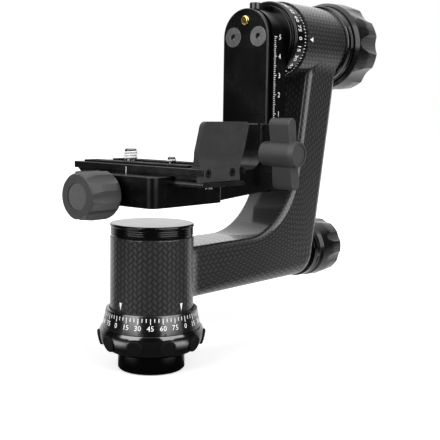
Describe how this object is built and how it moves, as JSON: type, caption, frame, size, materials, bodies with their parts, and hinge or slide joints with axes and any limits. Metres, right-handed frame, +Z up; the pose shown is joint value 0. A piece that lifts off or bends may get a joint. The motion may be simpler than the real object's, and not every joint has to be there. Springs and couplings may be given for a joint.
{
  "type": "gimbal tripod head",
  "caption": "Gimbal tripod head: a swept carbon arm turns on a threaded base and carries a tilting rail with a height-adjustable cradle, quick-release clamp and lens plate.",
  "frame": {"origin": "centre of the threaded hole at the foot's lower face, on the pan axis", "axes": "+Z up along the pan axis, +X along the tilt axis towards the drag knobs, +Y completes the right-handed frame"},
  "size_m": [0.2714, 0.1081, 0.2408],
  "materials": {
    "foot_metal": "satin black anodised aluminium",
    "head_metal": "satin black anodised aluminium",
    "carbon": "woven carbon fibre under clear lacquer",
    "knob_plastic": "glossy black knob",
    "soft_grip": "black rubber",
    "matte_knob": "dark grey matte knob",
    "steel": "plain steel",
    "dark_steel": "blackened steel",
    "liner_metal": "machined aluminium",
    "friction": "friction pad",
    "pin_brass": "brass"
  },
  "bodies": {
    "base": {"base_foot": "foot_metal", "grip_ring": "foot_metal", "grip_studs": "soft_grip", "pan_scale_ring": "head_metal", "pan_spindle": "steel", "spindle_screws": "dark_steel", "spindle_nut": "dark_steel", "pan_bearing_cores": "steel"},
    "arm": {"arm_shell": "carbon", "arm_cap": "head_metal", "pan_liner": "liner_metal", "pan_bearing_shells": "steel", "pan_bearing_clip": "dark_steel", "tilt_liner": "liner_metal", "tilt_bearing_shells": "steel", "tilt_bearing_clip": "dark_steel", "elbow_collar": "head_metal", "tilt_collar": "head_metal"},
    "pan_brake": {"pan_brake_shoe": "friction", "pan_brake_rod": "steel"},
    "pan_lock": {"elbow_knob": "knob_plastic", "elbow_knob_stem": "steel", "elbow_knob_cap": "head_metal"},
    "tilt_brake": {"tilt_brake_disc": "friction"},
    "tilt_lock": {"tilt_knob": "knob_plastic", "tilt_knob_stem": "steel", "tilt_knob_cap": "head_metal"},
    "swing": {"swing_rail": "head_metal", "rail_screws": "steel", "rail_stop_screw": "dark_steel", "tilt_axle": "steel", "tilt_scale_ring": "head_metal", "axle_nut": "dark_steel", "tilt_bearing_cores": "steel"},
    "pin": {"safety_pin": "pin_brass"},
    "cradle": {"cradle_bracket": "head_metal", "qr_clamp_body": "head_metal", "clamp_bolts": "dark_steel", "jaw_guide_pins": "steel"},
    "side_jaw": {"rail_jaw": "head_metal", "jaw_set_screw": "steel"},
    "wing": {"wing_knob": "matte_knob", "wing_knob_screw": "steel", "wing_knob_cap": "matte_knob"},
    "clamp_jaw": {"qr_jaw": "head_metal"},
    "clamp_knob": {"qr_knob": "matte_knob", "qr_knob_screw": "steel", "qr_knob_cap": "matte_knob"},
    "plate": {"lens_plate": "head_metal", "plate_pads": "soft_grip", "plate_stop_pins": "steel", "plate_flange": "head_metal", "flange_screws": "steel"},
    "large_screw": {"camera_screw_large": "steel"},
    "small_screw": {"camera_screw_small": "steel"}
  },
  "joints": [
    {"name": "pan", "type": "hinge", "parent": "base", "child": "arm", "pos_m": [0, 0, 0], "axis": [0, 0, 1], "continuous": true},
    {"name": "elbow_knob_turn", "type": "hinge", "parent": "arm", "child": "pan_lock", "pos_m": [0.165, 0, 0.0577], "axis": [1, 0, 0], "range_deg": [-90, 0]},
    {"name": "pan_brake_slide", "type": "slide", "parent": "arm", "child": "pan_brake", "axis": [1, 0, 0], "range_m": [-0.0003125, 0]},
    {"name": "tilt", "type": "hinge", "parent": "arm", "child": "swing", "pos_m": [0.12, 0, 0.2085], "axis": [1, 0, 0], "continuous": true},
    {"name": "tilt_knob_turn", "type": "hinge", "parent": "arm", "child": "tilt_lock", "pos_m": [0.185, 0, 0.2085], "axis": [1, 0, 0], "range_deg": [-90, 0]},
    {"name": "tilt_brake_slide", "type": "slide", "parent": "arm", "child": "tilt_brake", "axis": [1, 0, 0], "range_m": [-0.0003125, 0]},
    {"name": "cradle_slide", "type": "slide", "parent": "swing", "child": "cradle", "axis": [0, 0, 1], "range_m": [0, 0.055]},
    {"name": "rail_jaw_slide", "type": "slide", "parent": "cradle", "child": "side_jaw", "axis": [0, -1, 0], "range_m": [0, 0.001]},
    {"name": "wing_knob_turn", "type": "hinge", "parent": "side_jaw", "child": "wing", "pos_m": [0.0832, -0.03, 0.1315], "axis": [0, -1, 0], "range_deg": [0, 360]},
    {"name": "qr_jaw_slide", "type": "slide", "parent": "cradle", "child": "clamp_jaw", "axis": [-1, 0, 0], "range_m": [0, 0.004]},
    {"name": "qr_knob_turn", "type": "hinge", "parent": "clamp_jaw", "child": "clamp_knob", "pos_m": [-0.04, 0, 0.1098], "axis": [-1, 0, 0], "range_deg": [0, 720]},
    {"name": "plate_slide", "type": "slide", "parent": "cradle", "child": "plate", "axis": [0, 1, 0], "range_m": [-0.0057, 0.0078]},
    {"name": "large_screw_turn", "type": "hinge", "parent": "plate", "child": "large_screw", "pos_m": [0, 0.0188, 0.1264], "axis": [0, 0, 1], "continuous": true},
    {"name": "small_screw_turn", "type": "hinge", "parent": "plate", "child": "small_screw", "pos_m": [0, -0.0158, 0.1264], "axis": [0, 0, 1], "continuous": true},
    {"name": "safety_pin_push", "type": "slide", "parent": "swing", "child": "pin", "axis": [1, 0, 0], "range_m": [0, 0.002], "stiffness_N_per_m": 400, "springref_m": -0.002}
  ],
  "couplings": [
    {"joint": "elbow_knob_turn", "follows": "pan_brake_slide", "rad_per_m": 5026.5},
    {"joint": "tilt_knob_turn", "follows": "tilt_brake_slide", "rad_per_m": 5026.5},
    {"joint": "wing_knob_turn", "follows": "rail_jaw_slide", "rad_per_m": 6283.1},
    {"joint": "qr_knob_turn", "follows": "qr_jaw_slide", "rad_per_m": 3141.6}
  ]
}
